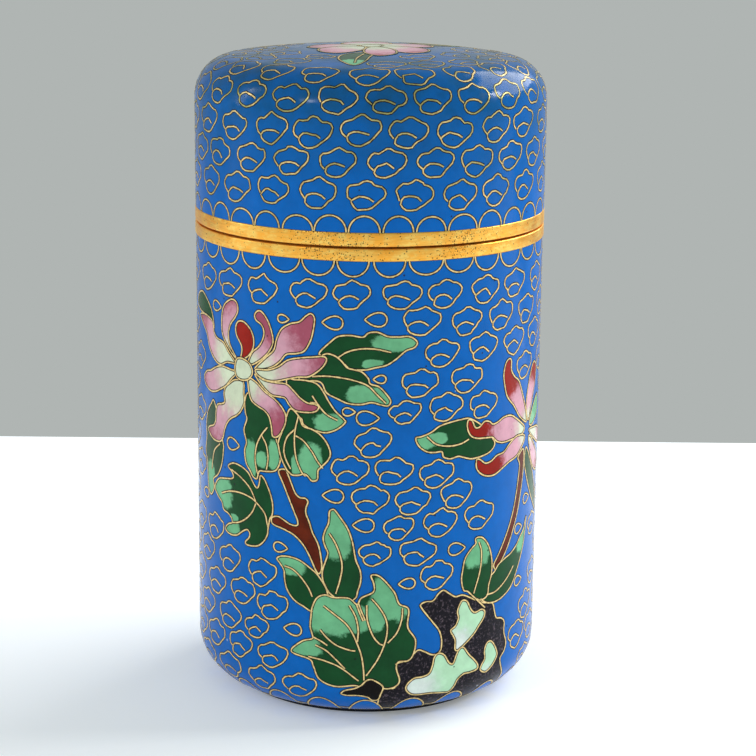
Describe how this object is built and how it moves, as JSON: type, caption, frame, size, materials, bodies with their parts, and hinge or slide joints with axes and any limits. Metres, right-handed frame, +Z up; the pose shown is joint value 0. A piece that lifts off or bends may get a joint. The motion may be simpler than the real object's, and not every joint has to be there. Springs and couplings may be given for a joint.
{
  "type": "cloisonne enamel box",
  "caption": "Small upright round box of cloisonne enamel on copper, with metal mouth bands and a deep lift-off lid over an inner collar.",
  "frame": {"origin": "middle of the underside, on the plane of the foot ring", "axes": "+Z up along the box's own axis of turning, -Y towards the side with the two painted flowers and the rock"},
  "size_m": [0.052, 0.052, 0.0965],
  "materials": {
    "blue_enamel": "glossy vitreous enamel on copper, with small pits",
    "gilt_brass": "worn satin gilding",
    "dark_brass": "dark tarnish"
  },
  "bodies": {
    "root": {"body_shell": "blue_enamel", "body_rim": "gilt_brass", "lid_shell": "blue_enamel", "lid_rim": "gilt_brass", "foot_ring": "dark_brass"}
  },
  "joints": []
}
